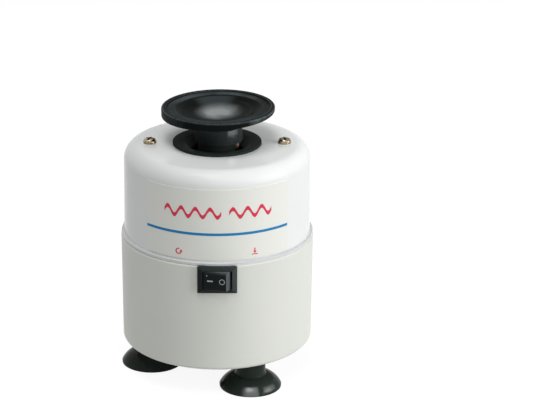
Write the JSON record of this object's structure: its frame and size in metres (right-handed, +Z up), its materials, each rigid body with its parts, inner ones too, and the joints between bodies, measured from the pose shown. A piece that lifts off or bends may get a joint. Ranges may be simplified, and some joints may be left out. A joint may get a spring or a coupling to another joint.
{
  "type": "vortex mixer",
  "caption": "Small round bench vortex mixer with an orbiting rubber dish on a sprung motor, a two-part moulded housing, a rocker switch and suction-cup feet.",
  "frame": {"origin": "on the bench, under the housing's axis", "axes": "+Z up, +X to the right and -Y to the front, where the rocker switch is"},
  "size_m": [0.1063, 0.1154, 0.1499],
  "materials": {
    "cover_white": "gloss moulded, cool white",
    "housing_cream": "semi-gloss moulded, warm light grey",
    "label_cream": "matt film with printed line and marks",
    "rubber_black": "matt black rubber",
    "foot_black": "smooth black rubber",
    "zinc_yellow": "yellow zinc plate",
    "steel": "turned steel",
    "steel_black": "blackened steel",
    "base_steel": "primed steel plate",
    "spring_steel": "oiled spring wire",
    "laminate_brown": "brown paper laminate",
    "lamination": "stacked lamination edges",
    "copper": "varnished winding wire",
    "cast_aluminium": "as cast",
    "bronze": "sintered bronze",
    "switch_black": "satin black",
    "rocker_black": "satin black with white marks",
    "touch_red": "moulded thermoset",
    "plunger_white": "natural nylon",
    "terminal_tin": "tinned brass",
    "gland_black": "black nylon"
  },
  "bodies": {
    "housing": {"lower_housing": "housing_cream", "upper_cover": "cover_white", "cover_ring": "rubber_black", "label_panel": "label_cream", "cover_screws": "zinc_yellow", "base_plate": "base_steel", "foot_studs": "steel", "foot_nuts": "zinc_yellow", "pillar_screw": "zinc_yellow", "pillar_left": "steel", "pillar_right": "steel", "retaining_rings": "spring_steel", "carrier_springs": "spring_steel", "switch_frame": "switch_black", "switch_terminals": "terminal_tin", "micro_switch": "touch_red", "micro_switch_terminals": "terminal_tin", "micro_switch_bracket": "steel", "micro_switch_screws": "steel", "bracket_screws": "steel", "cord_gland": "gland_black", "foot_front": "foot_black", "foot_rear": "foot_black", "foot_left": "foot_black"},
    "carrier": {"carrier_plate": "laminate_brown", "guide_bushes": "bronze", "stator_core": "lamination", "stator_windings": "copper", "upper_bracket": "cast_aluminium", "lower_bracket": "cast_aluminium", "motor_bush_upper": "bronze", "motor_bush_lower": "bronze", "motor_bolts": "steel", "motor_nuts": "steel"},
    "rotor": {"rotor_core": "lamination", "motor_shaft": "steel", "shaft_spacers": "steel", "eccentric_hub": "steel_black", "hub_screw": "zinc_yellow", "head_bearing_inner": "steel", "bearing_screw": "steel"},
    "head": {"head_bearing_outer": "steel", "head_hub": "cast_aluminium", "mixing_head": "rubber_black"},
    "rocker": {"switch_rocker": "rocker_black"},
    "plunger": {"micro_switch_plunger": "plunger_white"}
  },
  "joints": [
    {"name": "head_press", "type": "slide", "parent": "housing", "child": "carrier", "axis": [0, 0, -1], "range_m": [0, 0.002], "stiffness_N_per_m": 3000, "springref_m": -0.005, "deforming": ["carrier_springs"]},
    {"name": "rotor_spin", "type": "hinge", "parent": "carrier", "child": "rotor", "pos_m": [0, 0, 0.1089], "axis": [0, 0, 1], "continuous": true},
    {"name": "head_orbit", "type": "hinge", "parent": "rotor", "child": "head", "pos_m": [0.00085, 0.00181, 0.1351], "axis": [0, 0, 1], "continuous": true},
    {"name": "rocker_tilt", "type": "hinge", "parent": "housing", "child": "rocker", "pos_m": [0, -0.051, 0.0713], "axis": [0, 0, 1], "range_deg": [0, 24]},
    {"name": "plunger_press", "type": "slide", "parent": "housing", "child": "plunger", "axis": [0, 0, -1], "range_m": [0, 0.002]}
  ],
  "couplings": [
    {"joint": "head_orbit", "follows": "rotor_spin", "ratio": -1},
    {"joint": "plunger_press", "follows": "head_press", "ratio": 1}
  ]
}
